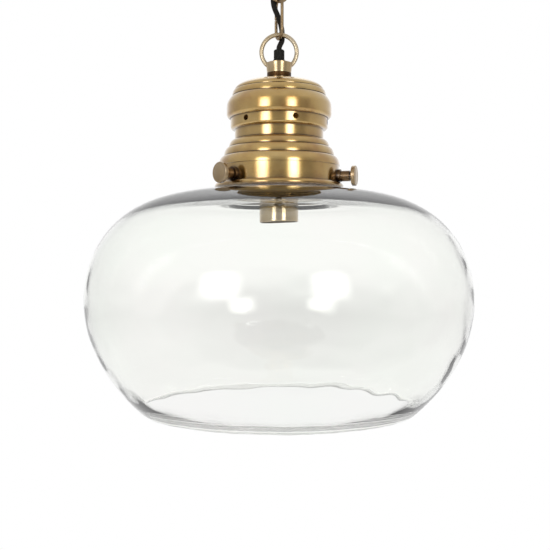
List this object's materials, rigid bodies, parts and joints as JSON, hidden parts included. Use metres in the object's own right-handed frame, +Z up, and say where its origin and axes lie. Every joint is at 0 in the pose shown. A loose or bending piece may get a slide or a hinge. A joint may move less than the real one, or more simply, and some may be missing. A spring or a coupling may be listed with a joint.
{
  "type": "pendant light",
  "caption": "Chain-hung pendant light: a clear blown glass shade held by thumbscrews in a stepped antique brass gallery under a domed cap.",
  "frame": {"origin": "on the ceiling, at the middle of the ceiling plate's upper face", "axes": "+Z up, out of the ceiling face; the light hangs along -Z; -Y is the side seen in the picture; +X is to the right there"},
  "size_m": [0.3815, 0.3814, 0.5446],
  "materials": {
    "antique_brass": "satin, aged",
    "dark_brass": "dull, aged",
    "contact_brass": "bright",
    "steel": "zinc plated",
    "black_nylon": "moulded",
    "flex_sheath": "braided",
    "clear_glass": "clear, blown",
    "soft_pad": "moulded",
    "porcelain": "glazed",
    "brown_core": "smooth",
    "blue_core": "smooth",
    "green_core": "smooth"
  },
  "bodies": {
    "ceiling": {"ceiling_plate": "steel", "plate_nut": "steel", "ceiling_hook": "antique_brass", "canopy": "antique_brass", "canopy_nut": "antique_brass", "canopy_cord_grip": "black_nylon", "canopy_grip_nut": "black_nylon", "terminal_block": "porcelain", "terminal_screws": "steel", "canopy_live_core": "brown_core", "canopy_neutral_core": "blue_core", "canopy_earth_core": "green_core", "hanging_flex": "flex_sheath"},
    "link_3": {"chain_link_3": "antique_brass"},
    "link_2": {"chain_link_2": "antique_brass"},
    "link_1": {"chain_link_1": "antique_brass"},
    "ring": {"suspension_ring": "antique_brass"},
    "fitting": {"loop_collar": "antique_brass", "cord_grip": "black_nylon", "seat_washer": "dark_brass", "domed_cap": "antique_brass", "spacer_tube": "dark_brass", "hollow_stem": "dark_brass", "stem_flex": "flex_sheath", "gallery_body": "antique_brass", "gallery_washer": "steel", "gallery_nut": "steel", "screw_bushes": "antique_brass", "glass_shade": "clear_glass", "lampholder_locknut": "dark_brass", "lampholder_shell": "antique_brass", "lampholder_bridge": "steel", "lampholder_nut": "dark_brass", "bridge_screws": "steel", "porcelain_insert": "porcelain", "screw_shell": "contact_brass", "centre_contact": "contact_brass", "live_terminal": "contact_brass", "neutral_terminal": "contact_brass", "holder_live_core": "brown_core", "holder_neutral_core": "blue_core", "holder_earth_core": "green_core"},
    "pad_1": {"screw_pad_1": "soft_pad"},
    "pad_2": {"screw_pad_2": "soft_pad"},
    "pad_3": {"screw_pad_3": "soft_pad"},
    "screw_1": {"thumbscrew_1": "antique_brass"},
    "screw_2": {"thumbscrew_2": "antique_brass"},
    "screw_3": {"thumbscrew_3": "antique_brass"}
  },
  "joints": [
    {"name": "link_3_swing", "type": "hinge", "parent": "ceiling", "child": "link_3", "pos_m": [0, 0, -0.0648], "axis": [0.9397, 0.342, 0], "range_deg": [-20, 20], "deforming": ["hanging_flex"]},
    {"name": "link_2_swing", "type": "hinge", "parent": "link_3", "child": "link_2", "pos_m": [0, 0, -0.1015], "axis": [0.342, -0.9397, 0], "range_deg": [-20, 20], "deforming": ["hanging_flex"]},
    {"name": "link_1_swing", "type": "hinge", "parent": "link_2", "child": "link_1", "pos_m": [0, 0, -0.13865], "axis": [0.9397, 0.342, 0], "range_deg": [-20, 20], "deforming": ["hanging_flex"]},
    {"name": "ring_swing", "type": "hinge", "parent": "link_1", "child": "ring", "pos_m": [0, 0, -0.1758], "axis": [0.342, -0.9397, 0], "range_deg": [-20, 20], "deforming": ["hanging_flex"]},
    {"name": "fitting_swing", "type": "hinge", "parent": "ring", "child": "fitting", "pos_m": [0, 0, -0.2038], "axis": [1, 0, 0], "range_deg": [-20, 20], "deforming": ["hanging_flex"]},
    {"name": "pad_1_travel", "type": "slide", "parent": "fitting", "child": "pad_1", "axis": [0.9613, -0.2756, 0], "range_m": [0, 0.0064]},
    {"name": "screw_1_turn", "type": "hinge", "parent": "pad_1", "child": "screw_1", "pos_m": [0.06248, -0.01792, -0.3149], "axis": [0.9613, -0.2756, 0], "range_deg": [0, 2880]},
    {"name": "pad_2_travel", "type": "slide", "parent": "fitting", "child": "pad_2", "axis": [-0.2419, 0.9703, 0], "range_m": [0, 0.0064]},
    {"name": "screw_2_turn", "type": "hinge", "parent": "pad_2", "child": "screw_2", "pos_m": [-0.01572, 0.06307, -0.3149], "axis": [-0.2419, 0.9703, 0], "range_deg": [0, 2880]},
    {"name": "pad_3_travel", "type": "slide", "parent": "fitting", "child": "pad_3", "axis": [-0.7193, -0.6947, 0], "range_m": [0, 0.0064]},
    {"name": "screw_3_turn", "type": "hinge", "parent": "pad_3", "child": "screw_3", "pos_m": [-0.04676, -0.04515, -0.3149], "axis": [-0.7193, -0.6947, 0], "range_deg": [0, 2880]}
  ],
  "couplings": [
    {"joint": "screw_1_turn", "follows": "pad_1_travel", "rad_per_m": 7854},
    {"joint": "screw_2_turn", "follows": "pad_2_travel", "rad_per_m": 7854},
    {"joint": "screw_3_turn", "follows": "pad_3_travel", "rad_per_m": 7854}
  ]
}
